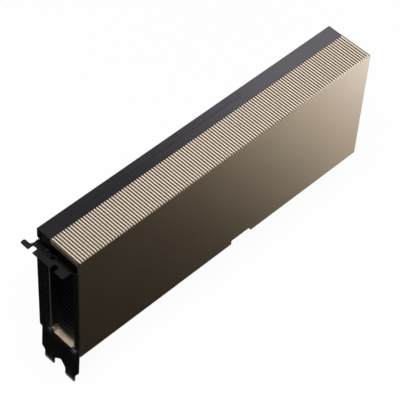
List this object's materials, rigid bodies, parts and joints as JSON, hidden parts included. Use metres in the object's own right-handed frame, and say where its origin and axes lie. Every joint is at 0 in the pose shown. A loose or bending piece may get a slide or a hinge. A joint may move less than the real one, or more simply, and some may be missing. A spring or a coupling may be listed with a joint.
{
  "type": "passive accelerator card",
  "caption": "Dual-slot, full-length accelerator card for servers, cooled by the chassis air: ribbed metal shroud, dark top rail and vented slot bracket.",
  "frame": {"origin": "where the board's middle plane meets its contact edge, at the centre of the connector key", "axes": "+X along the card from the slot bracket to the far end, +Y from the shroud's front wall to the backplate, +Z away from the slot; the card goes into the slot along -Z"},
  "size_m": [0.2776, 0.0438, 0.1299],
  "materials": {
    "champagne_anodised": "satin",
    "dark_rail_coat": "satin",
    "dark_cover_plastic": "matt",
    "black_bracket_coat": "satin",
    "black_end_plate_coat": "matt",
    "black_screw_steel": "satin",
    "zinc_screw_steel": "satin",
    "board_laminate": "satin",
    "gold_contact": "polished",
    "fin_aluminium": "satin",
    "frame_aluminium": "matt",
    "chamber_copper": "satin",
    "grey_paste": "matt",
    "package_laminate": "satin",
    "ring_nickel": "satin",
    "die_silicon": "polished",
    "memory_silicon": "polished",
    "inductor_core": "matt",
    "gap_pad": "matt",
    "chip_epoxy": "matt",
    "capacitor_case": "satin",
    "connector_nylon": "satin",
    "tin_pin": "satin"
  },
  "bodies": {
    "root": {"backplate": "champagne_anodised", "backplate_screws": "black_screw_steel", "base_frame": "frame_aluminium", "bracket": "black_bracket_coat", "bracket_screws": "black_screw_steel", "circuit_board": "board_laminate", "controller_chips": "chip_epoxy", "cooler_screws": "zinc_screw_steel", "edge_contacts": "gold_contact", "end_plate": "black_end_plate_coat", "end_plate_screws": "black_screw_steel", "fin_stack": "fin_aluminium", "frame_screws": "zinc_screw_steel", "inductor_pads": "gap_pad", "inductors": "inductor_core", "link_contacts": "gold_contact", "link_cover_1": "dark_cover_plastic", "link_cover_2": "dark_cover_plastic", "link_cover_3": "dark_cover_plastic", "memory_stacks": "memory_silicon", "package_ring": "ring_nickel", "package_substrate": "package_laminate", "power_connector": "connector_nylon", "power_pins": "tin_pin", "power_stages": "chip_epoxy", "processor_die": "die_silicon", "shroud": "champagne_anodised", "tantalum_capacitors": "capacitor_case", "thermal_paste": "grey_paste", "top_rail": "dark_rail_coat", "vapor_chamber": "chamber_copper"}
  },
  "joints": []
}
